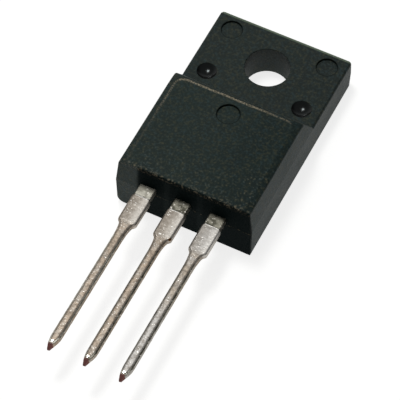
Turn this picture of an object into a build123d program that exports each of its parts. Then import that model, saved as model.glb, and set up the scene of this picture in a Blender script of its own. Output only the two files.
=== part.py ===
"""Fully moulded three-lead power transistor, lying on its back.

Millimetres, +Z up. The origin is the axis of the mounting hole where it leaves the back face.
+Y runs towards the tab end, -Y towards the lead tips, and +X to the right of someone who looks
at the front with the leads towards them.
"""

from build123d import *
import math
import os

# Moulded case: outer sizes
case_width = 9.8
case_length = 15.6
case_height = 4.6
tab_thickness = 2.5

# Moulded case: how far each wall leans in from the parting line
front_side_draft = 0.19
back_side_draft = 0.03
front_end_draft = 0.14
back_end_draft = 0.05
tab_end_bulge = 0.12

# Moulded case: the sloping step down to the tab
step_foot_to_hole = 3.1
step_lean = 34.0

# Moulded case: the flat front panel and the shallow bevel round three of its sides
bevel_width = 0.43
bevel_angle = 15.0
panel_corner_radius = 0.6
front_edge_radius = 0.18
tab_corner_radius = 0.25

# Mounting hole
hole_diameter = 3.1
hole_to_tab_end = 3.0
hole_rim_radius = 0.05

# Round marks that the mould's pins leave in the front
dimple_diameter = 1.4
dimple_to_side = 1.38
dimple_to_hole = 2.08
dimple_floor = 0.5
tab_mark_diameter = 1.45
tab_mark_to_side = 1.34
tab_mark_beyond_hole = 1.8
panel_mark_diameter = 1.56
panel_mark_to_panel_edge = 1.25
pin_mark_depth = 0.14

# Leads outside the case
lead_pitch = 2.54
lead_thickness = 0.5
lead_to_back = 2.6
lead_length = 13.5
stem_width = 1.14
stem_length = 0.88
wide_width = 1.26
wide_end = 2.95
shoulder_length = 0.16
neck_width = 0.92
neck_length = 1.0
neck_slope = 0.5
thin_width = 0.66
lead_edge_radius = 0.14
tip_length = 0.95
tip_width = 0.16
tip_shift = 0.08
tip_slant = 0.3

# Header: the plate inside the case that carries the die
header_thickness = 1.2
header_to_back = 0.5
header_to_side = 1.1
header_to_lead_end = 1.9
header_to_hole_wall = 0.85
header_beyond_hole = 0.2
header_corner_radius = 0.4
joggle_start = 0.75

# Inner ends of the outer leads
pad_width = 2.1
pad_length = 1.3
pad_to_lead_end = 0.45
pad_corner_radius = 0.25

# Die and the solder under it
die_width = 3.8
die_length = 4.2
die_thickness = 0.3
die_to_header_front = 0.7
solder_thickness = 0.06
solder_margin = 0.12

# Bond wires
wire_diameter = 0.3
wire_squash = 0.05
wire_foot = 0.45
wire_on_die_x = 1.05
wire_on_die_y = 1.1

# How far an edge may lie from the place it is looked for
edge_slack = 0.01

# Places worked out from the sizes
half_width = case_width / 2
tab_end = hole_to_tab_end
lead_end = tab_end - case_length
parting_height = tab_thickness
lead_bottom = lead_to_back
lead_top = lead_bottom + lead_thickness
lead_tip = lead_end - lead_length
step_foot = -step_foot_to_hole
step_top = step_foot - (case_height - tab_thickness) * math.tan(math.radians(step_lean))
panel_half_width = half_width - front_side_draft - bevel_width
panel_edge = step_top - bevel_width / 2
header_top = header_to_back + header_thickness
header_front = lead_end + header_to_lead_end
header_width = case_width - 2 * header_to_side
pad_front = lead_end + pad_to_lead_end
pad_centre = pad_front + pad_length / 2
die_front = header_front + die_to_header_front
die_centre = die_front + die_length / 2
die_bottom = header_top + solder_thickness
die_top = die_bottom + die_thickness
tab_mark_x = half_width - tab_mark_to_side
dimple_x = half_width - dimple_to_side
dimple_depth = tab_thickness - header_top - dimple_floor
dimple_ball_radius = ((dimple_diameter / 2) ** 2 + dimple_depth**2) / (2 * dimple_depth)


def lead_outline(inner_end):
    """Outline of one lead seen from the front, pointed tip to inner end, about x = 0."""
    stem, wide, neck = stem_width / 2, wide_width / 2, neck_width / 2
    thin, tip = thin_width / 2, tip_width / 2
    dam_step = lead_end - stem_length
    shoulder = lead_end - wide_end
    neck_start = shoulder - shoulder_length
    thin_start = neck_start - neck_length
    tip_start = lead_tip + tip_length
    with BuildSketch() as outline:
        with BuildLine():
            Polyline(
                (0, inner_end),
                (stem, inner_end),
                (stem, dam_step),
                (wide, dam_step - (wide - stem)),
                (wide, shoulder),
                (neck, neck_start),
            )
            Spline((neck, neck_start), (thin, thin_start), tangents=((-neck_slope, -1), (0, -1)))
            Line((thin, thin_start), (thin, tip_start))
            mirror(about=Plane.YZ)
            Polyline(
                (thin, tip_start),
                (tip - tip_shift, lead_tip),
                (-tip - tip_shift, lead_tip),
                (-thin, tip_start),
            )
        make_face()
    return outline.sketch


def tip_cut():
    """Side view of what the slanting cut takes off the lead tips."""
    with BuildSketch(Plane.YZ) as cut:
        with BuildLine():
            Polyline(
                (lead_tip - tip_slant, lead_bottom),
                (lead_tip, lead_bottom),
                (lead_tip + tip_slant, lead_top),
                (lead_tip - tip_slant, lead_top),
                close=True,
            )
        make_face()
    return cut.sketch


def dipped_edges(lead):
    """The long edges of a lead from its wide part to its taper, which the solder dip leaves round."""
    wide_start = lead_end - stem_length - wide_width / 2 + stem_width / 2
    beyond_stem = lead.edges().filter_by_position(Axis.Y, lead_tip + tip_length, wide_start, (False, False))
    return beyond_stem - beyond_stem.filter_by(Axis.Z)


def on_body_outline(edge):
    """True where the thick body's front meets the side walls, and the step's edges with them."""
    middle = edge.center()
    beside = abs(middle.X) > half_width - front_side_draft - edge_slack
    above_tab = middle.Z > tab_thickness + edge_slack
    clear_of_lead_end = middle.Y > lead_end + front_end_draft
    return above_tab and clear_of_lead_end and (beside or middle.Y > step_top)


tip_cut_profile = tip_cut()

# Outer leads: each ends inside the case in a wide pad for its bond wire
outer_outline = lead_outline(pad_centre)
outer_leads = {}
for side, direction in (("left", -1), ("right", 1)):
    with BuildPart() as outer_lead:
        with BuildSketch(Plane.XY.offset(lead_bottom)):
            with Locations((direction * lead_pitch, 0)):
                add(outer_outline)
        extrude(amount=lead_thickness)
        fillet(dipped_edges(outer_lead), lead_edge_radius)
        with BuildSketch(Plane.XY.offset(lead_bottom)):
            with Locations((direction * lead_pitch, pad_centre)):
                RectangleRounded(pad_width, pad_length, pad_corner_radius)
        extrude(amount=lead_thickness)
        extrude(tip_cut_profile, amount=case_width, both=True, mode=Mode.SUBTRACT)
    outer_lead.part.label = f"{side}_lead"
    outer_leads[side] = outer_lead.part

# Centre lead: it steps down inside the case and is one piece with the header
joggle_drop = lead_top - header_top
joggle_turn = math.atan2(joggle_drop, header_front - lead_end - joggle_start)
joggle_shift = lead_thickness * math.tan(joggle_turn / 2)
joggle_top = lead_end + joggle_start
joggle_bottom = joggle_top - joggle_shift
centre_outline = lead_outline(joggle_bottom)
with BuildPart() as centre_lead:
    with BuildSketch(Plane.XY.offset(lead_bottom)):
        add(centre_outline)
    extrude(amount=lead_thickness)
    fillet(dipped_edges(centre_lead), lead_edge_radius)
    extrude(tip_cut_profile, amount=case_width, both=True, mode=Mode.SUBTRACT)
    with BuildSketch(Plane.YZ):
        with BuildLine():
            Polyline(
                (joggle_bottom, lead_top),
                (joggle_top, lead_top),
                (header_front, header_top),
                (header_front + lead_thickness, header_top),
                (header_front + lead_thickness, header_top - lead_thickness),
                (header_front - joggle_shift, header_top - lead_thickness),
                (joggle_bottom, lead_bottom),
                close=True,
            )
        make_face()
    extrude(amount=stem_width / 2, both=True)
    with BuildSketch(Plane.XY.offset(header_to_back)):
        with Locations((0, (header_front + header_beyond_hole) / 2)):
            RectangleRounded(header_width, header_beyond_hole - header_front, header_corner_radius)
        Circle(hole_diameter / 2 + header_to_hole_wall, mode=Mode.SUBTRACT)
    extrude(amount=header_thickness)
centre_lead.part.label = "centre_lead_and_header"

# Solder that holds the die to the header
with BuildPart() as die_solder:
    with BuildSketch(Plane.XY.offset(header_top)):
        with Locations((0, die_centre)):
            RectangleRounded(
                die_width + 2 * solder_margin, die_length + 2 * solder_margin, solder_margin
            )
    extrude(amount=solder_thickness)
die_solder.part.label = "die_solder"

# Silicon die
with BuildPart() as die:
    with BuildSketch(Plane.XY.offset(die_bottom)):
        with Locations((0, die_centre)):
            Rectangle(die_width, die_length)
    extrude(amount=die_thickness)
die.part.label = "silicon_die"

# Bond wires: each rises from the pad of an outer lead and comes down to the top of the die
wires = {}
for side, direction in (("left", -1), ("right", 1)):
    pad_foot = Vector(direction * lead_pitch, pad_centre, 0)
    die_foot = Vector(direction * wire_on_die_x, die_front + wire_on_die_y, 0)
    run = die_foot - pad_foot
    wire_plane = Plane(origin=pad_foot, x_dir=run, z_dir=run.cross(Vector(0, 0, 1)))
    axis_above_seat = wire_diameter / 2 - wire_squash
    bow_height = (lead_top + case_height) / 2
    with BuildPart() as wire:
        with BuildLine(wire_plane) as wire_path:
            Polyline(
                (-wire_foot, lead_top + axis_above_seat),
                (0, lead_top + axis_above_seat),
                (run.length / 2, bow_height),
                (run.length, die_top + axis_above_seat),
                (run.length + wire_foot, die_top + axis_above_seat),
            )
        with BuildSketch(Plane(origin=wire_path.line @ 0, z_dir=wire_path.line % 0)):
            Circle(wire_diameter / 2)
        sweep(transition=Transition.RIGHT)
        add(outer_leads[side], mode=Mode.SUBTRACT)
        add(die.part, mode=Mode.SUBTRACT)
    wire.part.label = f"{side}_bond_wire"
    wires[side] = wire.part

# Moulded case: its side view, end view and what lies inside it
with BuildPart() as case:
    with BuildSketch(Plane.YZ):
        with BuildLine():
            Polyline(
                (lead_end + front_end_draft, case_height),
                (lead_end, parting_height),
                (lead_end + back_end_draft, 0),
                (tab_end, 0),
                (tab_end + tab_end_bulge, tab_thickness / 2),
                (tab_end, tab_thickness),
                (step_foot, tab_thickness),
                (step_top, case_height),
                close=True,
            )
        make_face()
    extrude(amount=case_width, both=True)
    with BuildSketch(Plane.XZ):
        with BuildLine():
            Polyline(
                (0, 0),
                (half_width - back_side_draft, 0),
                (half_width, parting_height),
                (half_width - front_side_draft, case_height),
                (0, case_height),
            )
            mirror(about=Plane.YZ)
        make_face()
    extrude(amount=case_length, both=True, mode=Mode.INTERSECT)

    # The shallow bevel follows the panel's left, tab and right sides
    bevel_reach = 3 * bevel_width
    panel_start = (-panel_half_width, lead_end - bevel_reach, case_height)
    with BuildLine(Plane.XY.offset(case_height)):
        FilletPolyline(
            (-panel_half_width, lead_end - bevel_reach),
            (-panel_half_width, panel_edge),
            (panel_half_width, panel_edge),
            (panel_half_width, lead_end - bevel_reach),
            radius=panel_corner_radius,
        )
    with BuildSketch(Plane(origin=panel_start, x_dir=(-1, 0, 0), z_dir=(0, 1, 0))):
        with BuildLine():
            Polyline(
                (0, 0),
                (bevel_reach, -bevel_reach * math.tan(math.radians(bevel_angle))),
                (bevel_reach, bevel_width),
                (0, bevel_width),
                close=True,
            )
        make_face()
    sweep(mode=Mode.SUBTRACT)

    # Upright corners of the tab, then the rim of its front, then the outline of the thick body
    tab_end_edges = case.edges().filter_by_position(Axis.Y, tab_end, tab_end + tab_end_bulge)
    fillet([edge for edge in tab_end_edges if abs(edge.center().X) > panel_half_width], tab_corner_radius)
    tab_rim = case.edges().filter_by_position(
        Axis.Z, tab_thickness - edge_slack, tab_thickness + edge_slack
    )
    tab_rim = tab_rim.filter_by_position(Axis.Y, step_foot / 2, tab_end)
    fillet(tab_rim, front_edge_radius)
    fillet(case.edges().filter_by(on_body_outline), front_edge_radius)

    # Mounting hole, with its front rim broken round
    Hole(hole_diameter / 2)
    fillet(
        case.edges().filter_by(GeomType.CIRCLE).sort_by_distance((0, 0, tab_thickness))[0],
        hole_rim_radius,
    )

    # Flat marks of the ejector pins, and the round pits of the pins that hold the header down
    with Locations(
        (-tab_mark_x, tab_mark_beyond_hole, tab_thickness),
        (tab_mark_x, tab_mark_beyond_hole, tab_thickness),
    ):
        Hole(tab_mark_diameter / 2, depth=pin_mark_depth)
    with Locations((0, panel_edge - panel_mark_to_panel_edge, case_height)):
        Hole(panel_mark_diameter / 2, depth=pin_mark_depth)
    with Locations(
        (-dimple_x, -dimple_to_hole, tab_thickness - dimple_depth + dimple_ball_radius),
        (dimple_x, -dimple_to_hole, tab_thickness - dimple_depth + dimple_ball_radius),
    ):
        Sphere(dimple_ball_radius, mode=Mode.SUBTRACT)

    # The compound fills every space round the metal inside
    add([centre_lead.part, *outer_leads.values(), die_solder.part, die.part], mode=Mode.SUBTRACT)
    add(list(wires.values()), mode=Mode.SUBTRACT)
case.part.label = "moulded_case"

os.makedirs("parts", exist_ok=True)
inner_pieces = [centre_lead.part, *outer_leads.values(), die_solder.part, die.part, *wires.values()]
for piece in [case.part, *inner_pieces]:
    export_step(piece, f"parts/{piece.label}.step")
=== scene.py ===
"""Studio picture of a fully moulded power transistor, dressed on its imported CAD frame.

Metres, in the frame of the CAD. The origin is the axis of the mounting hole at the back face, +Y runs
towards the tab end and -Y towards the lead tips, and +Z points out of the front.
"""

import logging
import math
from dataclasses import dataclass, field
from enum import Enum
from typing import NamedTuple

import bpy
from mathutils import Matrix, Vector


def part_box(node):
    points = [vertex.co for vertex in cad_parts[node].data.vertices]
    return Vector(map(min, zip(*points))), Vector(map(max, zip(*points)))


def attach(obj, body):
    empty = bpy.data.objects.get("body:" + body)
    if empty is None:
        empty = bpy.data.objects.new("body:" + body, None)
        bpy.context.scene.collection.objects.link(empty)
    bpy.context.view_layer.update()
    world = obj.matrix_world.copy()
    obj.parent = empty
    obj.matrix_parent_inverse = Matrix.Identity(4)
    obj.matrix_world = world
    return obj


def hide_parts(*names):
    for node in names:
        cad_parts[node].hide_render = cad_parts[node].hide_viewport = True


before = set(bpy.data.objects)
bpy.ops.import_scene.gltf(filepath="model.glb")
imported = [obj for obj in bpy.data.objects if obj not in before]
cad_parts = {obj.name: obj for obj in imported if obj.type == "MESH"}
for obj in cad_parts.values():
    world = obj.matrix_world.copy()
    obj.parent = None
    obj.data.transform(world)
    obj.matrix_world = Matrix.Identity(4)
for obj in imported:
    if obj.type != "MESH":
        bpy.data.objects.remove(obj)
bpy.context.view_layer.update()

Socket = bpy.types.NodeSocket
Tree = bpy.types.NodeTree
Colour = tuple[float, float, float, float]
Point = tuple[float, float, float]
Edge = tuple[float, float]

MM = 0.001
LEAD_PITCH = 2.54  # millimetres
LEAD_END = -12.6  # face of the case that the leads come out of, in millimetres along Y
# The sockets of a Mix node share their names, so they are picked by number
FACTOR, NUMBER_A, NUMBER_B, COLOUR_A, COLOUR_B = 0, 2, 3, 6, 7
COLOUR_OUT = 2

log = logging.getLogger("transistor")


class Lead(Enum):
    """The three leads, by their place in the row."""

    LEFT = -1
    CENTRE = 0
    RIGHT = 1


class Join(Enum):
    """Whether all parts of a mask make it or any one of them, by the operation that joins them."""

    ALL = "MULTIPLY"
    ANY = "MAXIMUM"


def linear(hex_colour: str) -> Colour:
    """Turn an sRGB hex colour into the linear colour that a shader takes.

    Args:
        hex_colour: Colour written as "#RRGGBB".

    Returns:
        Linear red, green and blue, and an alpha of one.
    """
    channels = [int(hex_colour[i : i + 2], 16) / 255 for i in (1, 3, 5)]
    red, green, blue = (
        c / 12.92 if c <= 0.04045 else ((c + 0.055) / 1.055) ** 2.4 for c in channels
    )
    return red, green, blue, 1.0


def add_node(
    tree: Tree,
    kind: str,
    inputs: dict[str | int, object] | None = None,
    out: str | int = 0,
    **settings: object,
) -> Socket | None:
    """Add one node to a tree, with its settings, its values and its links.

    Args:
        tree: Node tree that takes the node.
        kind: Blender's name for the kind of node, without the "ShaderNode" in front.
        inputs: Value or linked socket for each input, by the input's name or number.
        out: Name or number of the output that is wanted.
        settings: Properties of the node.

    Returns:
        The output that is wanted, or none where the node has no outputs.
    """
    node = tree.nodes.new(f"ShaderNode{kind}")
    for key, value in settings.items():
        setattr(node, key, value)
    for key, value in (inputs or {}).items():
        if isinstance(value, Socket):
            tree.links.new(value, node.inputs[key])
        else:
            node.inputs[key].default_value = value
    return node.outputs[out] if len(node.outputs) else None


@dataclass(frozen=True)
class Ramp:
    """Soft edge of a mask, between the value where it is zero and the value where it is one.

    With a middle, the value counts by its distance from there, so that the edge lies on both sides.
    """

    value: Socket
    zero_at: float
    one_at: float
    middle: float | None = None


def mask(tree: Tree, *parts: Ramp | Socket | float, join: Join = Join.ALL) -> Socket:
    """Build a mask out of soft edges, finished masks and plain strengths.

    Args:
        tree: Node tree of the material.
        parts: Parts of the mask.
        join: Whether all parts make the mask or any one of them.

    Returns:
        Socket that carries the mask, from zero to one.
    """
    joined = None
    for part in parts:
        if isinstance(part, Ramp):
            value = part.value
            if part.middle is not None:
                offset = add_node(tree, "Math", {0: value, 1: part.middle}, operation="SUBTRACT")
                value = add_node(tree, "Math", {0: offset}, operation="ABSOLUTE")
            (low, at_low), (high, at_high) = sorted([(part.zero_at, 0.0), (part.one_at, 1.0)])
            part = add_node(
                tree,
                "MapRange",
                {"Value": value, "From Min": low, "From Max": high, "To Min": at_low, "To Max": at_high},
                interpolation_type="SMOOTHSTEP",
            )
        if joined is not None:
            part = add_node(tree, "Math", {0: joined, 1: part}, operation=join.value)
        joined = part
    return joined


@dataclass(frozen=True)
class Finish:
    """A real surface finish, and the material that shows it. Its lengths are in millimetres."""

    name: str

    def material(self) -> bpy.types.Material:
        """Build the material.

        Returns:
            The new material, with its surface linked.
        """
        material = bpy.data.materials.new(self.name)
        material.use_nodes = True
        tree = material.node_tree
        tree.nodes.clear()
        place = add_node(tree, "TexCoord", out="Object")
        place_mm = add_node(tree, "VectorMath", {0: place, "Scale": 1 / MM}, operation="SCALE")
        add_node(tree, "OutputMaterial", {"Surface": self.surface(tree, place_mm)})
        return material

    def surface(self, tree: Tree, place_mm: Socket) -> Socket:
        """Shader of the finish, from the place on the object in millimetres."""
        raise NotImplementedError


@dataclass(frozen=True)
class CaseReadings:
    """What the masks of the case read at each point: its place in millimetres, and three noises."""

    x: Socket
    y: Socket
    z: Socket
    wide_x: Socket
    clouds: Socket
    grain: Socket
    flecks: Socket


@dataclass(frozen=True)
class EpoxyCompound(Finish):
    """Silica-filled epoxy, transfer-moulded in a spark-eroded mould.

    The eye sees near-black with a fine matte grain, flecked olive and slate where the filler shows, a
    rubbed tan line on the proud crease, and glossy pits where polished pins stood in the mould. Light and
    shade are painted in as well: the pits, the rims of the pin marks and the lead end round the leads are
    painted dark, the top edge of the tab end carries a painted highlight, and the gloss is tinted brighter
    at the left and on the tab.
    Each noise is given by the size of its patches in millimetres and its number of finer layers. The real
    grain and filler are about 0.03 mm, and are drawn coarser so that they show. Each edge is given by the
    value where its mask is zero and the value where it is one, and each band by its half widths there.
    """

    name: str = "epoxy_moulding_compound"
    body: str = "#0E1715"
    cloud: str = "#16201D"
    rubbed: str = "#B3A58C"
    ochre: str = "#3D3D2C"
    # Painted shade: near-black in the pits, at the rims of the pin marks and on the lead end round the leads;
    # and a painted highlight along the top edge of the tab end
    slate: str = "#26373A"
    pit_shade_tone: str = "#040505"
    end_shade_tone: str = "#030B0B"
    edge_highlight_tone: str = "#83937B"
    # Tints of the gloss, which paint light and shade: brightest at the left and on the tab, dimmer at the
    # right, and nearly out where shade is painted
    gloss_left: str = "#DDF8F0"
    gloss_right: str = "#B5D1CE"
    gloss_tab: str = "#F1FFF9"
    gloss_shaded: str = "#305D5D"
    ior: float = 1.43
    rough_body: tuple[float, float] = (0.56, 0.68)
    rough_end: float = 0.92
    rough_pit: float = 0.16
    coat_on_pits: float = 0.55
    coat_roughness: float = 0.2
    # Noises, and where they show
    cloud_noise: tuple[float, float] = (1.6, 4.0)
    grain_noise: tuple[float, float] = (0.1, 3.0)
    fleck_noise: tuple[float, float] = (0.16, 4.0)
    hue_noise: tuple[float, float] = (0.35, 2.0)
    cloud_edge: Edge = (0.35, 0.68)
    fleck_edge: Edge = (0.4, 0.7)
    hue_edge: Edge = (0.4, 0.6)
    fleck_strength: float = 0.8
    grain_depth: float = 0.045
    grain_on_body: float = 0.6
    grain_on_pits: float = 0.03
    # Places on the case, in millimetres
    tab_top: float = 2.5
    parting: float = 2.5
    front_edge: Edge = (4.4, 4.5)
    lead_end_edge: Edge = (LEAD_END + 0.3, LEAD_END + 0.12)
    tab_end_edge: Edge = (2.74, 2.84)
    tab_corner_band: Edge = (0.18, 0.08)
    panel_edge: float = -4.732
    panel_side: float = 4.28
    panel_corner: float = 0.6
    dimple: Point = (3.52, -2.08, 0.7)
    dimple_edge: Edge = (0.02, -0.03)
    dimple_rim: Edge = (2.495, 2.47)
    dimple_floor: Edge = (1.3, 1.5)
    tab_mark: Point = (3.56, 1.8, 0.725)
    tab_mark_edge: Edge = (2.3, 2.4)
    panel_mark: Point = (0.0, -5.982, 0.78)
    panel_mark_edge: Edge = (4.3, 4.4)
    ring_band: Edge = (0.06, 0.02)
    end_shade_from: Edge = (-3.5, -3.15)
    between_leads: float = 1.2
    between_band: Edge = (0.32, 0.08)
    gloss_across: Edge = (-1.5, 4.0)
    gloss_along: Edge = (-4.2, -3.0)
    # Strengths of the painted light and shade that lie over the body
    edge_highlight_strength: float = 0.6
    ring_strength: float = 0.7
    tab_highlight_strength: float = 0.7
    shade_between_leads: float = 0.6
    shade_on_end: float = 0.4
    shade_on_rings: float = 0.8
    shade_in_pits: float = 0.9
    # Flash and rubbed places, with the noise that breaks them up
    flash_band: Edge = (0.07, 0.02)
    flash_flecks: Edge = (0.52, 0.62)
    flash_strength: float = 0.25
    flash_wander: float = 0.1
    crease_band: Edge = (0.13, 0.01)
    crease_wander: float = 0.05
    crease_grain: Edge = (0.36, 0.62)
    crease_top: Edge = (-5.232, -4.832)
    crease_top_end: Edge = (4.15, 3.8)
    crease_top_fade: Edge = (0.4, 3.0)
    crease_top_wear: tuple[float, float] = (0.95, 0.4)
    crease_left: Edge = (-3.9, -4.2)
    crease_left_fade: Edge = (-9.5, -6.0)
    crease_left_wear: tuple[float, float] = (0.1, 0.4)
    end_rub_y: float = LEAD_END + 0.14
    end_rub_band: Edge = (0.4, 0.04)
    end_rub_edge: Edge = (4.2, 4.5)
    end_rub_flecks: Edge = (0.46, 0.7)
    end_rub_strength: float = 0.32
    corner_rub: tuple[float, float] = (4.0, -11.0)
    corner_rub_bands: tuple[Edge, Edge] = ((1.4, 0.3), (2.6, 1.0))
    corner_rub_flecks: Edge = (0.56, 0.74)
    corner_rub_strength: float = 0.18
    low_rub_edge: Edge = (-9.0, -12.4)
    low_rub_flecks: Edge = (0.56, 0.76)
    low_rub_strength: float = 0.14

    def surface(self, tree: Tree, place_mm: Socket) -> Socket:
        """Shader of the moulding compound.

        Args:
            tree: Node tree of the material.
            place_mm: Place on the case in millimetres.

        Returns:
            Shader socket.
        """
        x, y, z = add_node(tree, "SeparateXYZ", {0: place_mm}).node.outputs
        wide_x = add_node(tree, "Math", {0: x}, operation="ABSOLUTE")
        clouds, grain, flecks, hues = (
            add_node(tree, "TexNoise", {"Vector": place_mm, "Scale": 1 / size, "Detail": layers})
            for size, layers in (self.cloud_noise, self.grain_noise, self.fleck_noise, self.hue_noise)
        )
        at = CaseReadings(x, y, z, wide_x, clouds, grain, flecks)
        hue = {
            FACTOR: mask(tree, Ramp(hues, *self.hue_edge)),
            COLOUR_A: linear(self.ochre),
            COLOUR_B: linear(self.slate),
        }
        fleck_tone = add_node(tree, "Mix", hue, COLOUR_OUT, data_type="RGBA")
        # Painted shade on the lead end: its gloss is turned down all over, and round the leads it is painted
        # near-black and made rough
        on_end = mask(tree, Ramp(y, *self.lead_end_edge))
        round_leads = mask(tree, on_end, Ramp(x, *self.end_shade_from))
        # Painted highlight: a light grey-green line along the top edge of the tab end, for the floor
        # reflected there
        painted_edge_highlight = mask(
            tree,
            Ramp(y, *self.tab_end_edge),
            Ramp(z, *self.tab_corner_band, self.tab_top),
            self.edge_highlight_strength,
        )
        worn = mask(tree, self.rubbed_edges(tree, at), self.flash(tree, at, on_end), join=Join.ANY)
        pits, rings = self.pin_marks(tree, at)
        colour = linear(self.body)
        # Of these layers, the end round the leads, the pits and the rims carry painted shade, and the tab's
        # top edge a painted highlight
        for where, tone in (
            (mask(tree, Ramp(clouds, *self.cloud_edge)), linear(self.cloud)),
            (mask(tree, Ramp(flecks, *self.fleck_edge), self.fleck_strength), fleck_tone),
            (round_leads, linear(self.end_shade_tone)),
            (painted_edge_highlight, linear(self.edge_highlight_tone)),
            (worn, linear(self.rubbed)),
            (pits, linear(self.pit_shade_tone)),
            (mask(tree, rings, self.ring_strength), linear(self.pit_shade_tone)),
        ):
            layer = {FACTOR: where, COLOUR_A: colour, COLOUR_B: tone}
            colour = add_node(tree, "Mix", layer, COLOUR_OUT, data_type="RGBA")

        least, most = self.rough_body
        rough = add_node(tree, "MapRange", {"Value": clouds, "To Min": least, "To Max": most})
        for where, value in ((round_leads, self.rough_end), (pits, self.rough_pit)):
            rough = add_node(tree, "Mix", {FACTOR: where, NUMBER_A: rough, NUMBER_B: value})
        depth = add_node(
            tree, "MapRange", {"Value": pits, "To Min": self.grain_on_body, "To Max": self.grain_on_pits}
        )
        bump = add_node(tree, "Bump", {"Strength": depth, "Distance": self.grain_depth * MM, "Height": grain})
        return add_node(
            tree,
            "BsdfPrincipled",
            {
                "Base Color": colour,
                "Roughness": rough,
                "Normal": bump,
                "IOR": self.ior,
                "Specular Tint": self.gloss(tree, at, on_end, round_leads, pits, rings),
                "Coat Weight": mask(tree, pits, self.coat_on_pits),
                "Coat Roughness": self.coat_roughness,
            },
        )

    def flash(self, tree: Tree, at: CaseReadings, on_end: Socket) -> Socket:
        """Specks of flash along the parting line of the lead end.

        Args:
            tree: Node tree of the material.
            at: Place and noises.
            on_end: Mask of the lead end.

        Returns:
            Socket that carries the mask.
        """
        limits = {"To Min": -self.flash_wander, "To Max": self.flash_wander}
        wander = add_node(tree, "MapRange", {"Value": at.clouds, **limits})
        moved_z = add_node(tree, "Math", {0: at.z, 1: wander}, operation="ADD")
        at_parting = Ramp(moved_z, *self.flash_band, self.parting)
        return mask(tree, on_end, at_parting, Ramp(at.flecks, *self.flash_flecks), self.flash_strength)

    def pin_marks(self, tree: Tree, at: CaseReadings) -> tuple[Socket, Socket]:
        """Where polished pins left glossy pits, and the fine ring at the rim of each flat pin mark; both are
        painted dark, as shade.

        Args:
            tree: Node tree of the material.
            at: Place and noises.

        Returns:
            Sockets that carry the mask of the pits and the mask of the rings, where shade is painted.
        """
        pits = mask(
            tree,
            Ramp(self.reach(tree, at.wide_x, at.y, self.dimple), *self.dimple_edge),
            Ramp(at.z, *self.dimple_rim),
            Ramp(at.z, *self.dimple_floor),
        )
        # A fine ring at the rim of each flat pin mark, where shade is painted
        rings = []
        for across, mark, depth in (
            (at.wide_x, self.tab_mark, self.tab_mark_edge),
            (at.x, self.panel_mark, self.panel_mark_edge),
        ):
            on_rim = Ramp(self.reach(tree, across, at.y, mark), *self.ring_band, middle=0.0)
            rings.append(mask(tree, on_rim, Ramp(at.z, *depth)))
        return pits, mask(tree, *rings, join=Join.ANY)

    def gloss(
        self, tree: Tree, at: CaseReadings, on_end: Socket, round_leads: Socket, pits: Socket, rings: Socket
    ) -> Socket:
        """Tint of the gloss, which paints light and shade: brighter at the left and on the tab, dimmer
        towards the right, and nearly out on the lead end, at the rims and in the pits, where shade is
        painted, with lighter bands between the leads.

        Args:
            tree: Node tree of the material.
            at: Place and noises.
            on_end: Mask of the lead end.
            round_leads: Mask of the part of the lead end round the leads, where shade is painted.
            pits: Mask of the glossy pits.
            rings: Mask of the rings round the pin marks, where shade is painted.

        Returns:
            Socket that carries the tint.
        """
        between = mask(tree, Ramp(at.wide_x, *self.between_band, self.between_leads))
        # Strength of the painted shade round the leads, less between them, where a lighter band is painted
        stain = add_node(
            tree, "MapRange", {"Value": between, "To Min": 1.0, "To Max": self.shade_between_leads}
        )
        painted_shade = mask(
            tree,
            mask(tree, round_leads, stain),
            mask(tree, on_end, self.shade_on_end),
            mask(tree, rings, self.shade_on_rings),
            mask(tree, pits, self.shade_in_pits),
            join=Join.ANY,
        )
        tint = linear(self.gloss_left)
        # Painted light and shade in the gloss: brighter to the left and on the tab, nearly out where shade is
        # painted
        for where, tone in (
            (mask(tree, Ramp(at.x, *self.gloss_across)), self.gloss_right),
            (mask(tree, Ramp(at.y, *self.gloss_along), self.tab_highlight_strength), self.gloss_tab),
            (painted_shade, self.gloss_shaded),
        ):
            layer = {FACTOR: where, COLOUR_A: tint, COLOUR_B: linear(tone)}
            tint = add_node(tree, "Mix", layer, COLOUR_OUT, data_type="RGBA")
        return tint

    def reach(self, tree: Tree, across: Socket, along: Socket, mark: Point) -> Socket:
        """Distance outside a round mark, seen from the front.

        Args:
            tree: Node tree of the material.
            across: Place along X in millimetres.
            along: Place along Y in millimetres.
            mark: Place along X and Y of the mark's centre, and its radius, in millimetres.

        Returns:
            Socket that is negative inside the mark.
        """
        *centre, radius = mark
        flat = add_node(tree, "CombineXYZ", {0: across, 1: along})
        ends = {0: flat, 1: (*centre, 0)}
        distance = add_node(tree, "VectorMath", ends, "Value", operation="DISTANCE")
        return add_node(tree, "Math", {0: distance, 1: radius}, operation="SUBTRACT")

    def crease_distance(self, tree: Tree, at: CaseReadings) -> Socket:
        """Distance from the centres of the panel's round corners, which is their radius on the crease.

        Args:
            tree: Node tree of the material.
            at: Place and noises.

        Returns:
            Socket that carries the distance in millimetres, with a slight wander.
        """
        past = [
            add_node(tree, "Math", {0: value, 1: edge - self.panel_corner}, operation="SUBTRACT")
            for value, edge in ((at.wide_x, self.panel_side), (at.y, self.panel_edge))
        ]
        outside = [add_node(tree, "Math", {0: side, 1: 0.0}, operation="MAXIMUM") for side in past]
        corner = add_node(tree, "CombineXYZ", dict(enumerate(outside)))
        length = add_node(tree, "VectorMath", {0: corner}, "Value", operation="LENGTH")
        furthest = add_node(tree, "Math", dict(enumerate(past)), operation="MAXIMUM")
        inside = add_node(tree, "Math", {0: furthest, 1: 0.0}, operation="MINIMUM")
        distance = add_node(tree, "Math", {0: length, 1: inside}, operation="ADD")
        limits = {"To Min": -self.crease_wander, "To Max": self.crease_wander}
        wander = add_node(tree, "MapRange", {"Value": at.clouds, **limits})
        return add_node(tree, "Math", {0: distance, 1: wander}, operation="ADD")

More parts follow.
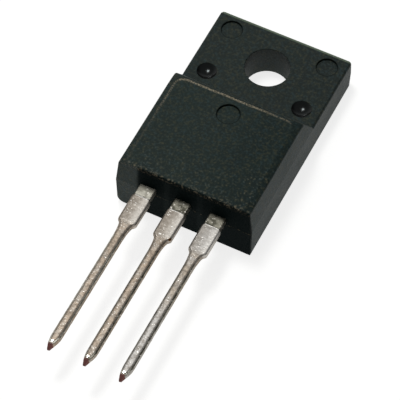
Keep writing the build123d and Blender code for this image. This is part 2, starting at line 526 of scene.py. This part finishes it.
    def rubbed_edges(self, tree: Tree, at: CaseReadings) -> Socket:
        """Where handling has rubbed the front: the crease round the panel and the edge at the leads.

        Args:
            tree: Node tree of the material.
            at: Place and noises.

        Returns:
            Socket that carries the mask.
        """
        on_front = mask(tree, Ramp(at.z, *self.front_edge))
        wear = []
        for value, edge, (first, last) in (
            (at.x, self.crease_top_fade, self.crease_top_wear),
            (at.y, self.crease_left_fade, self.crease_left_wear),
        ):
            along = mask(tree, Ramp(value, *edge))
            wear.append(add_node(tree, "MapRange", {"Value": along, "To Min": first, "To Max": last}))
        top_wear, left_wear = wear
        along_top = mask(tree, Ramp(at.y, *self.crease_top), top_wear, Ramp(at.x, *self.crease_top_end))
        along_left = mask(tree, Ramp(at.x, *self.crease_left), left_wear)
        crease = mask(
            tree,
            Ramp(self.crease_distance(tree, at), *self.crease_band, self.panel_corner),
            mask(tree, along_top, along_left, join=Join.ANY),
            on_front,
            Ramp(at.grain, *self.crease_grain),
        )
        end = mask(
            tree,
            Ramp(at.y, *self.end_rub_band, self.end_rub_y),
            Ramp(at.z, *self.end_rub_edge),
            Ramp(at.flecks, *self.end_rub_flecks),
            self.end_rub_strength,
        )
        corner_x, corner_y = (
            Ramp(value, *band, middle)
            for value, band, middle in zip((at.x, at.y), self.corner_rub_bands, self.corner_rub)
        )
        corner = mask(
            tree,
            corner_x,
            corner_y,
            on_front,
            Ramp(at.flecks, *self.corner_rub_flecks),
            self.corner_rub_strength,
        )
        low = mask(
            tree,
            Ramp(at.y, *self.low_rub_edge),
            on_front,
            Ramp(at.flecks, *self.low_rub_flecks),
            self.low_rub_strength,
        )
        return mask(tree, crease, end, corner, low, join=Join.ANY)


@dataclass(frozen=True)
class TinnedCopper(Finish):
    """Stamped copper strip with an old thin tin plate, cut through at the tips.

    The eye sees dull olive grey with bright scuffs near the case, and reddish brown bare metal at the cut.
    Each noise is given by the size of its patches in millimetres and its number of finer layers, and each
    edge by the value where its mask is zero and the value where it is one.
    """

    name: str = "tinned_copper_strip"
    plate: str = "#8E8B7E"
    stained: str = "#5C5A4F"
    bright: str = "#EAE6DC"
    bare: str = "#6E4A46"
    cut_edge: Edge = (-25.75, -25.81)
    stain_noise: tuple[float, float] = (0.45, 4.0)
    scuff_noise: tuple[float, float] = (0.16, 3.0)
    scuff_depth: float = 0.02
    scuff_bump: float = 0.4
    stain_edge: Edge = (0.42, 0.6)
    scuff_edge: Edge = (0.62, 0.7)
    rough_stains: tuple[float, float] = (0.36, 0.58)

    def surface(self, tree: Tree, place_mm: Socket) -> Socket:
        """Shader of the plated copper.

        Args:
            tree: Node tree of the material.
            place_mm: Place on the lead in millimetres.

        Returns:
            Shader socket.
        """
        y = add_node(tree, "SeparateXYZ", {0: place_mm}, "Y")
        stains, scuffs = (
            add_node(tree, "TexNoise", {"Vector": place_mm, "Scale": 1 / size, "Detail": layers})
            for size, layers in (self.stain_noise, self.scuff_noise)
        )
        colour = linear(self.plate)
        for where, tone in (
            (Ramp(stains, *self.stain_edge), self.stained),
            (Ramp(scuffs, *self.scuff_edge), self.bright),
            (Ramp(y, *self.cut_edge), self.bare),
        ):
            layer = {FACTOR: mask(tree, where), COLOUR_A: colour, COLOUR_B: linear(tone)}
            colour = add_node(tree, "Mix", layer, COLOUR_OUT, data_type="RGBA")
        low, high = self.rough_stains
        rough = add_node(tree, "MapRange", {"Value": stains, "To Min": low, "To Max": high})
        scuffing = {"Strength": self.scuff_bump, "Distance": self.scuff_depth * MM, "Height": scuffs}
        bump = add_node(tree, "Bump", scuffing)
        return add_node(
            tree,
            "BsdfPrincipled",
            {"Base Color": colour, "Metallic": 1.0, "Roughness": rough, "Normal": bump},
        )


@dataclass(frozen=True)
class DippedSolder(Finish):
    """Tin-lead solder left by a dip, oxidised to a warm grey.

    The eye sees a soft metal with low lumps, finely mottled beige and silver, one brown stain at a shoulder,
    and reddish brown bare copper at the cut. Light and shade are painted in: pin-prick glints, a bright line
    at the dam step, a highlight on the last drop near the tip, and one side of each wide part lit, the other
    shaded.
    Each noise is given by the size of its patches in millimetres and its number of finer layers, and is
    drawn coarser than the real crystals so that it shows. Each edge is given by the value where its mask is
    zero and the value where it is one.
    """

    name: str = "dipped_solder"
    warm: str = "#B0A190"
    silver: str = "#B2ABA1"
    dull: str = "#81776B"
    # Past the tip, so that the low end is not silvery unless a finish says so
    low_end_edge: Edge = (-38.5, -41.5)
    glint: str = "#F4F1EA"
    stain: str = "#6B4A2A"
    bare: str = "#6E4A46"
    gloss: str = "#ADA299"
    stain_at: Point = (0.62, -15.6, 3.1)
    stain_size: float = 0.2
    lip_y: float = -13.46
    drop_edge: Edge = (-25.52, -25.6)
    drop_front_edge: Edge = (3.01, 3.04)
    cut_edge: Edge = (-25.81, -25.85)
    patch_noise: tuple[float, float] = (0.8, 5.0)
    lump_noise: tuple[float, float] = (0.22, 4.0)
    glint_noise: tuple[float, float] = (0.1, 2.0)
    lump_depth: float = 0.03
    lump_bump: float = 0.35
    glint_bump: float = 0.3
    wide_edge: Edge = (-15.8, -15.4)
    pale_edge: Edge = (-16.2, -15.4)
    pale_patches: Edge = (0.4, 0.64)
    pale_patch_strength: float = 0.7
    dull_lumps: Edge = (0.6, 0.3)
    dull_on_thin: float = 0.7
    dull_on_wide: float = 0.45
    shaded_side: Edge = (0.2, -0.5)
    shaded_strength: float = 0.6
    lit_side: Edge = (-0.1, 0.5)
    lit_strength: float = 0.35
    pin_pricks: Edge = (0.61, 0.69)
    pin_prick_patches: Edge = (0.42, 0.56)
    lip_band: Edge = (0.08, 0.03)
    lip_lumps: Edge = (0.34, 0.46)
    rough_lumps: tuple[float, float] = (0.56, 0.42)
    rough_glint: float = 0.3
    rough_drop: float = 0.16
    rough_cut: float = 0.5

    def surface(self, tree: Tree, place_mm: Socket) -> Socket:
        """Shader of the solder.

        Args:
            tree: Node tree of the material.
            place_mm: Place on the lead in millimetres.

        Returns:
            Shader socket.
        """
        x, y, z = add_node(tree, "SeparateXYZ", {0: place_mm}).node.outputs
        # Wrapped by the pitch, X is zero on the middle line of every lead
        across = add_node(tree, "Math", {0: x, 1: LEAD_PITCH / 2, 2: -LEAD_PITCH / 2}, operation="WRAP")
        patches, lumps, glints = (
            add_node(tree, "TexNoise", {"Vector": place_mm, "Scale": 1 / size, "Detail": layers})
            for size, layers in (self.patch_noise, self.lump_noise, self.glint_noise)
        )
        on_wide = mask(tree, Ramp(y, *self.wide_edge))
        # The wide part and the low end stay silvery, and the thin part between them is warmer
        pale = mask(
            tree,
            Ramp(y, *self.pale_edge),
            Ramp(y, *self.low_end_edge),
            mask(tree, Ramp(patches, *self.pale_patches), self.pale_patch_strength),
            join=Join.ANY,
        )
        mottling = add_node(
            tree, "MapRange", {"Value": on_wide, "To Min": self.dull_on_thin, "To Max": self.dull_on_wide}
        )
        # Painted glints: pin pricks, and a bright line across the lip at the dam step
        pin_pricks = mask(tree, Ramp(glints, *self.pin_pricks), Ramp(patches, *self.pin_prick_patches))
        lip = mask(tree, Ramp(y, *self.lip_band, self.lip_y), Ramp(lumps, *self.lip_lumps))
        glinting = mask(tree, pin_pricks, lip, join=Join.ANY)
        ends = {0: place_mm, 1: self.stain_at}
        from_stain = add_node(tree, "VectorMath", ends, "Value", operation="DISTANCE")
        # Painted highlight on the last drop before the cut, which is also smoother there
        last_drop = mask(tree, Ramp(y, *self.drop_edge), Ramp(z, *self.drop_front_edge))
        at_cut = mask(tree, Ramp(y, *self.cut_edge))
        colour = linear(self.warm)
        for where, tone in (
            (pale, self.silver),
            (mask(tree, Ramp(lumps, *self.dull_lumps), mottling), self.dull),
            # Painted shade on one side of each wide part, and a painted highlight on the other
            (mask(tree, on_wide, Ramp(across, *self.shaded_side), self.shaded_strength), self.dull),
            (mask(tree, on_wide, Ramp(across, *self.lit_side), self.lit_strength), self.glint),
            (glinting, self.glint),
            (mask(tree, Ramp(from_stain, self.stain_size, self.stain_size / 2)), self.stain),
            (last_drop, self.glint),
            (at_cut, self.bare),
        ):
            layer = {FACTOR: where, COLOUR_A: colour, COLOUR_B: linear(tone)}
            colour = add_node(tree, "Mix", layer, COLOUR_OUT, data_type="RGBA")

        low, high = self.rough_lumps
        rough = add_node(tree, "MapRange", {"Value": lumps, "To Min": low, "To Max": high})
        for where, value in (
            (glinting, self.rough_glint),
            (last_drop, self.rough_drop),
            (at_cut, self.rough_cut),
        ):
            rough = add_node(tree, "Mix", {FACTOR: where, NUMBER_A: rough, NUMBER_B: value})
        height = add_node(tree, "Math", {0: glints, 1: self.glint_bump, 2: lumps}, operation="MULTIPLY_ADD")
        strength = add_node(tree, "MapRange", {"Value": last_drop, "To Min": self.lump_bump, "To Max": 0.0})
        bump = add_node(
            tree, "Bump", {"Strength": strength, "Distance": self.lump_depth * MM, "Height": height}
        )
        return add_node(
            tree,
            "BsdfPrincipled",
            {
                "Base Color": colour,
                "Metallic": 1.0,
                "Roughness": rough,
                "Normal": bump,
                "Specular Tint": linear(self.gloss),
            },
        )


@dataclass(frozen=True)
class InnerMetal(Finish):
    """Metal or silicon sealed inside the case: clean, and marked only by how it was made.

    The eye sees an even colour with faint lines along one axis, from grinding, drawing or rolling.
    """

    name: str = "inner_metal"
    tone: str = "#B8B8BA"
    line_tone: str = "#8E8E92"
    roughness: float = 0.35
    line_spacing: float = 0.06
    line_depth: float = 0.01
    line_bump: float = 0.3
    line_layers: float = 2.0
    line_stretch: Point = (1.0, 0.08, 1.0)

    def surface(self, tree: Tree, place_mm: Socket) -> Socket:
        """Shader of the sealed metal.

        Args:
            tree: Node tree of the material.
            place_mm: Place on the piece in millimetres.

        Returns:
            Shader socket.
        """
        stretched = add_node(tree, "Mapping", {"Vector": place_mm, "Scale": self.line_stretch})
        lines = add_node(
            tree,
            "TexNoise",
            {"Vector": stretched, "Scale": 1 / self.line_spacing, "Detail": self.line_layers},
        )
        tones = {FACTOR: lines, COLOUR_A: linear(self.tone), COLOUR_B: linear(self.line_tone)}
        colour = add_node(tree, "Mix", tones, COLOUR_OUT, data_type="RGBA")
        relief = {"Strength": self.line_bump, "Distance": self.line_depth * MM, "Height": lines}
        bump = add_node(tree, "Bump", relief)
        return add_node(
            tree,
            "BsdfPrincipled",
            {"Base Color": colour, "Metallic": 1.0, "Roughness": self.roughness, "Normal": bump},
        )


@dataclass(frozen=True)
class StudioPaper(Finish):
    """Seamless white paper. It shows white to the camera and keeps the object's soft shadow."""

    name: str = "studio_paper"
    tone: str = "#B6B6B4"
    lift: float = 0.78
    fibre_size: float = 2.0
    fibre_layers: float = 3.0
    fibre_depth: float = 0.02
    fibre_bump: float = 0.02

    def surface(self, tree: Tree, place_mm: Socket) -> Socket:
        """Shader of the paper.

        Args:
            tree: Node tree of the material.
            place_mm: Place on the floor in millimetres.

        Returns:
            Shader socket.
        """
        fibres = add_node(
            tree,
            "TexNoise",
            {"Vector": place_mm, "Scale": 1 / self.fibre_size, "Detail": self.fibre_layers},
        )
        relief = {"Strength": self.fibre_bump, "Distance": self.fibre_depth * MM, "Height": fibres}
        bump = add_node(tree, "Bump", relief)
        paper = add_node(tree, "BsdfDiffuse", {"Color": linear(self.tone), "Normal": bump})
        rays = add_node(tree, "LightPath").node.outputs
        kinds = ("Is Camera Ray", "Is Glossy Ray", "Is Transmission Ray")
        seen = mask(tree, *(rays[kind] for kind in kinds), join=Join.ANY)
        strength = mask(tree, seen, self.lift)
        lift = add_node(tree, "Emission", {"Color": linear("#FFFFFF"), "Strength": strength})
        return add_node(tree, "AddShader", {0: paper, 1: lift})


def deselect_all() -> None:
    """Leave nothing selected, so that an operator acts only on what is picked next."""
    if bpy.context.object and bpy.context.object.mode != "OBJECT":
        bpy.ops.object.mode_set(mode="OBJECT")
    bpy.ops.object.select_all(action="DESELECT")


def dress(piece: bpy.types.Object, material: bpy.types.Material) -> None:
    """Give a piece one material in place of any that it has.

    Args:
        piece: Object to dress.
        material: Material for its whole surface.
    """
    piece.data.materials.clear()
    piece.data.materials.append(material)


@dataclass
class CadPieces:
    """The CAD nodes, whose shapes stay as they are, and the finish each one gets."""

    finishes: dict[str, Finish] = field(
        default_factory=lambda: {
            "moulded_case": EpoxyCompound(),
            # The left stem keeps its tin, which looks paler and cleaner than the other two
            "left_lead": TinnedCopper("clean_tinned_copper_strip", "#B9B6AA", "#9A978B"),
            "centre_lead_and_header": TinnedCopper(),
            "right_lead": TinnedCopper(),
            # Dull grey sheet, dark mirror-ground silicon, and bright wire with lines drawn along it
            "die_solder": InnerMetal("soft_solder_sheet", "#9A9A9E", "#7C7C80", 0.45, 0.2),
            "silicon_die": InnerMetal("ground_silicon", "#3E4248", "#2E3136", 0.2, 0.05),
            "left_bond_wire": InnerMetal("drawn_aluminium_wire", "#CFCFD1", "#B4B4B8", 0.3, 0.04),
            "right_bond_wire": InnerMetal("drawn_aluminium_wire", "#CFCFD1", "#B4B4B8", 0.3, 0.04),
        }
    )

    def dress_all(self) -> dict[str, bpy.types.Material]:
        """Dress every CAD node in the material of its finish, and make each finish once.

        Returns:
            Material of each node.
        """
        made: dict[Finish, bpy.types.Material] = {}
        for node, finish in self.finishes.items():
            made[finish] = made.get(finish) or finish.material()
            dress(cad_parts[node], made[finish])
            log.info("%s: %s", node, finish.name)
        return {node: made[finish] for node, finish in self.finishes.items()}


@dataclass
class WornCase:
    """The moulded case with its left back corner at the lead end rubbed round, in millimetres.

    It stands for the CAD case, whose own mesh stays as it is.
    """

    name: str = "worn_moulded_case"
    corner: Point = (-4.87, -12.55, 0.0)
    radius: float = 0.5
    fade_length: float = 2.6
    facets: int = 6
    merge_distance: float = 0.0005

    def build(self, material: bpy.types.Material) -> bpy.types.Object:
        """Copy the CAD case, close its mesh, and rub the corner round with a fan of flat cuts.

        Args:
            material: Material of the compound.

        Returns:
            The finished piece.
        """
        case = bpy.data.objects.new(self.name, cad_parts["moulded_case"].data.copy())
        case.data.name = self.name
        bpy.context.scene.collection.objects.link(case)
        deselect_all()
        case.select_set(True)
        bpy.context.view_layer.objects.active = case
        bpy.ops.object.mode_set(mode="EDIT")
        bpy.ops.mesh.select_all(action="SELECT")
        bpy.ops.mesh.remove_doubles(threshold=self.merge_distance * MM, use_sharp_edge_from_normals=True)
        for facet in range(self.facets):
            self.rub(math.pi / 2 * (facet + 0.5) / self.facets)
        bpy.ops.object.mode_set(mode="OBJECT")
        dress(case, material)
        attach(case, "root")
        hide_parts("moulded_case")
        log.info("%s: %d faces", self.name, len(case.data.polygons))
        return case

    def rub(self, turn: float) -> None:
        """Take one flat facet off the corner, close the cut, and shade it smooth with its neighbours.

        Args:
            turn: Direction of the facet, from 0 for the side wall to a quarter turn for the back.
        """
        corner = Vector(self.corner)
        outwards = Vector((-math.cos(turn), 0, -math.sin(turn)))
        on_end = corner + Vector((self.radius, 0, self.radius)) + outwards * self.radius
        faded = corner + Vector((0, self.fade_length, 0))
        normal = (faded - on_end).cross(Vector((math.sin(turn), 0, -math.cos(turn)))).normalized()
        if normal.dot(outwards) < 0:
            normal.negate()
        bpy.ops.mesh.select_all(action="SELECT")
        bpy.ops.mesh.bisect(
            plane_co=on_end * MM,
            plane_no=normal,
            use_fill=True,
            clear_outer=True,
            threshold=self.merge_distance * MM,
        )
        bpy.ops.mesh.faces_shade_smooth()


class Station(NamedTuple):
    """One section of a solder coat, in millimetres.

    The distance counts from the lead end. The shift moves the section along X, and the drop lowers its front.
    """

    distance: float
    half_width: float
    shift: float = 0.0
    drop: float = 0.0


@dataclass
class SolderCoat:
    """The coat of solder that a dip left round one lead, from the dam step to the pointed cut.

    Its lengths are in millimetres.
    """

    name: str
    centre_x: float
    cover: float = 0.03
    thin_radius: float = 0.27
    wide_radius: float = 0.13
    rounded_share: float = 0.94
    across_limit: float = 0.01
    corner_segments: int = 6
    lump_height: float = 0.014
    lump_size: float = 0.35
    lump_level: float = 0.4
    subdivisions: int = 2
    outline: list[Station] = field(
        default_factory=lambda: [
            Station(0.80, 0.57), Station(0.86, 0.575), Station(0.94, 0.62), Station(0.99, 0.63),
            Station(1.30, 0.63), Station(1.90, 0.63), Station(2.50, 0.63), Station(2.90, 0.63),
            Station(2.96, 0.625), Station(3.08, 0.49), Station(3.14, 0.455), Station(3.30, 0.41),
            Station(3.50, 0.375), Station(3.80, 0.345), Station(4.11, 0.33),
        ]
    )
    wide_end: float = 3.0
    thin_end: float = 12.35
    thin_step: float = 0.55
    taper: list[Station] = field(
        default_factory=lambda: [
            Station(12.62, 0.320, -0.005, 0.0), Station(12.80, 0.285, -0.015, 0.0),
            Station(12.96, 0.245, -0.03, 0.0), Station(13.20, 0.190, -0.055, 0.042),
            Station(13.25, 0.165, -0.06, 0.09), Station(13.38, 0.105, -0.09, 0.30),
            Station(13.52, 0.030, -0.12, 0.50),
        ]
    )

    def stations(self) -> list[Station]:
        """Sections of the coat, with the even ones of the thin part between the outline and the taper.

        Returns:
            Sections in order, from the dam step to the tip.
        """
        neck = self.outline[-1]
        count = round((self.thin_end - neck.distance) / self.thin_step)
        step = (self.thin_end - neck.distance) / count
        thin = [neck._replace(distance=neck.distance + step * i) for i in range(1, count + 1)]
        return self.outline + thin + self.taper

    def build(self, bottom: float, top: float, material: bpy.types.Material) -> bpy.types.Object:
        """Model the coat round its lead.

        Args:
            bottom: Height of the lead's back, in millimetres.
            top: Height of the lead's front, in millimetres.
            material: Material of the solder.

        Returns:
            The finished piece.
        """
        stations = self.stations()
        low, high = bottom - self.cover, top + self.cover
        start = (self.centre_x * MM, (LEAD_END - stations[0].distance) * MM, (low + high) / 2 * MM)
        deselect_all()
        bpy.ops.mesh.primitive_plane_add(size=MM, location=start, rotation=(math.pi / 2, 0, 0))
        coat = bpy.context.object
        coat.name = coat.data.name = self.name
        bpy.ops.object.transform_apply(location=True, rotation=True, scale=True)
        bpy.ops.object.mode_set(mode="EDIT")
        bpy.ops.transform.resize(
            value=(2 * (stations[0].half_width + self.cover), 1, high - low), center_override=start
        )
        for last, following in zip(stations, stations[1:]):
            forward = (following.shift - last.shift, last.distance - following.distance, 0)
            bpy.ops.mesh.extrude_region_move(TRANSFORM_OT_translate={"value": Vector(forward) * MM})
            across = (following.half_width + self.cover) / (last.half_width + self.cover)
            upright = (high - low - following.drop) / (high - low - last.drop)
            centre = Vector((self.centre_x + following.shift, LEAD_END - following.distance, low)) * MM
            bpy.ops.transform.resize(value=(across, 1, upright), center_override=centre)
        bpy.ops.mesh.select_all(action="SELECT")
        bpy.ops.mesh.normals_make_consistent(inside=False)
        bpy.ops.object.mode_set(mode="OBJECT")
        self.round_corners(coat, high - low)
        self.add_lumps(coat)
        dress(coat, material)
        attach(coat, "root")
        log.info("%s: %d faces", self.name, len(coat.data.polygons))
        return coat

    def round_corners(self, coat: bpy.types.Object, height: float) -> None:
        """Round the long corners, which surface tension pulls in most where the lead is thin.

        An edge across the lead stays sharp, and a round takes most of the room that its section has.

        Args:
            coat: The coat, in object mode.
            height: Height of the coat where it is straight, in millimetres.
        """
        stations = self.stations()
        weights = coat.data.attributes.new("bevel_weight_edge", "FLOAT", "EDGE")
        for edge in coat.data.edges:
            reached = [LEAD_END - coat.data.vertices[i].co.y / MM for i in edge.vertices]
            if abs(reached[0] - reached[1]) > self.across_limit:
                sections = [min(stations, key=lambda s: abs(s.distance - place)) for place in reached]
                room = min(min(s.half_width + self.cover, (height - s.drop) / 2) for s in sections)
                on_thin = sum(reached) / 2 > self.wide_end
                radius = min(self.thin_radius, self.rounded_share * room) if on_thin else self.wide_radius
                weights.data[edge.index].value = radius / self.thin_radius
        corners = coat.modifiers.new("corners", "BEVEL")
        corners.limit_method, corners.width = "WEIGHT", self.thin_radius * MM
        corners.segments, corners.use_clamp_overlap = self.corner_segments, False
        bpy.ops.object.modifier_apply(modifier=corners.name)

    def add_lumps(self, coat: bpy.types.Object) -> None:
        """Subdivide the coat and raise its low lumps.

        Args:
            coat: The coat, in object mode.
        """
        clouds = bpy.data.textures.new(f"{self.name}_lumps", "CLOUDS")
        clouds.noise_scale = self.lump_size * MM
        smooth = coat.modifiers.new("smooth", "SUBSURF")
        smooth.levels = smooth.render_levels = self.subdivisions
        lumps = coat.modifiers.new("lumps", "DISPLACE")
        lumps.texture, lumps.texture_coords = clouds, "LOCAL"
        lumps.strength, lumps.mid_level = self.lump_height * MM, self.lump_level
        for modifier in (smooth.name, lumps.name):
            bpy.ops.object.modifier_apply(modifier=modifier)
        bpy.ops.object.shade_smooth()


@dataclass
class Studio:
    """White paper floor, soft surround, one overhead softbox, and the camera of the photograph.

    The target, the camera's distance and its sensor are in millimetres, and its angles are in degrees. Other
    lengths are in metres, and the softbox's power is in watts.
    """

    floor_size: float = 3.0
    floor_drop: float = 0.000005
    softbox_direction: Point = (-0.25, 0.17, 0.94)
    softbox_distance: float = 0.35
    softbox_size: float = 0.08
    softbox_power: float = 0.4
    ceiling: float = 0.25
    left_wall: float = 0.45
    right_wall: float = 0.05
    wall_edge: Edge = (-0.3, 0.6)
    ceiling_edge: Edge = (0.3, 0.75)
    azimuth: float = 26.504
    elevation: float = 56.19
    roll: float = 0.181
    distance: float = 180.489
    target: Point = (0.607, -11.323, 2.0)
    focal_pixels: float = 2766.07
    picture_pixels: float = 400.0
    sensor_width: float = 36.0
    clip_start: float = 0.01

    def lay_floor(self) -> None:
        """Lay the paper under the part."""
        deselect_all()
        bpy.ops.mesh.primitive_plane_add(size=self.floor_size, location=(0, 0, -self.floor_drop))
        floor = bpy.context.object
        floor.name = "paper_floor"
        bpy.ops.object.transform_apply(location=True, rotation=True, scale=True)
        dress(floor, StudioPaper().material())

    def hang_softbox(self) -> None:
        """Hang the softbox over the part, facing it."""
        light = bpy.data.lights.new("softbox", "AREA")
        light.shape, light.size, light.energy = "SQUARE", self.softbox_size, self.softbox_power
        lamp = bpy.data.objects.new("softbox", light)
        bpy.context.scene.collection.objects.link(lamp)
        direction = Vector(self.softbox_direction).normalized()
        lamp.location = Vector(self.target) * MM + direction * self.softbox_distance
        lamp.rotation_mode = "QUATERNION"
        lamp.rotation_quaternion = (-direction).to_track_quat("-Z", "Y")

    def surround(self) -> None:
        """Put a surround about the part: a soft ceiling, a pale left wall and a dark right one."""
        world = bpy.data.worlds.new("surround")
        bpy.context.scene.world = world
        world.use_nodes = True
        tree = world.node_tree
        tree.nodes.clear()
        direction = add_node(tree, "TexCoord", out="Generated")
        x, _, z = add_node(tree, "SeparateXYZ", {0: direction}).node.outputs
        to_right = mask(tree, Ramp(x, *self.wall_edge))
        wall = add_node(
            tree, "MapRange", {"Value": to_right, "To Min": self.left_wall, "To Max": self.right_wall}
        )
        overhead = mask(tree, Ramp(z, *self.ceiling_edge))
        strength = add_node(tree, "Mix", {FACTOR: overhead, NUMBER_A: wall, NUMBER_B: self.ceiling})
        sky = add_node(tree, "Background", {"Color": linear("#FFFFFF"), "Strength": strength})
        add_node(tree, "OutputWorld", {"Surface": sky})

    def place_camera(self) -> None:
        """Stand the camera where the photograph was taken from."""
        lens = bpy.data.cameras.new("camera")
        lens.sensor_width = self.sensor_width
        lens.lens = self.focal_pixels / self.picture_pixels * self.sensor_width
        lens.clip_start = self.clip_start
        camera = bpy.data.objects.new("camera", lens)
        bpy.context.scene.collection.objects.link(camera)
        around, up = math.radians(self.azimuth), math.radians(self.elevation)
        back = Vector((math.sin(around) * math.cos(up), -math.cos(around) * math.cos(up), math.sin(up)))
        turn = (-back).to_track_quat("-Z", "Y").to_matrix() @ Matrix.Rotation(math.radians(self.roll), 3, "Z")
        place = Matrix.Translation((Vector(self.target) + back * self.distance) * MM)
        camera.matrix_world = place @ turn.to_4x4()
        bpy.context.scene.camera = camera

    def set_up(self) -> None:
        """Set up the whole studio."""
        self.place_camera()
        self.lay_floor()
        self.hang_softbox()
        self.surround()
        bpy.context.scene.view_settings.view_transform = "Standard"
        log.info("studio: camera, floor, softbox and surround")


def main() -> None:
    """Dress the CAD nodes, round the case's worn corner, model the solder, and set up the studio."""
    logging.basicConfig(level=logging.INFO, format="%(name)s: %(message)s")
    materials = CadPieces().dress_all()
    WornCase().build(materials["moulded_case"])
    low, high = (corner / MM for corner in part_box("left_lead"))
    warm_solder = DippedSolder().material()
    # The right lead's solder is less oxidised, which looks cooler and brighter, most of all at its low end
    silvery_solder = DippedSolder(
        "silvery_dipped_solder",
        warm="#AFA495",
        silver="#BBB8B3",
        dull="#867E74",
        low_end_edge=(-18.5, -21.5),
    ).material()
    for lead in Lead:
        solder = silvery_solder if lead is Lead.RIGHT else warm_solder
        SolderCoat(f"{lead.name.lower()}_solder_coat", lead.value * LEAD_PITCH).build(low.z, high.z, solder)
    Studio().set_up()


if __name__ == "__main__":
    main()
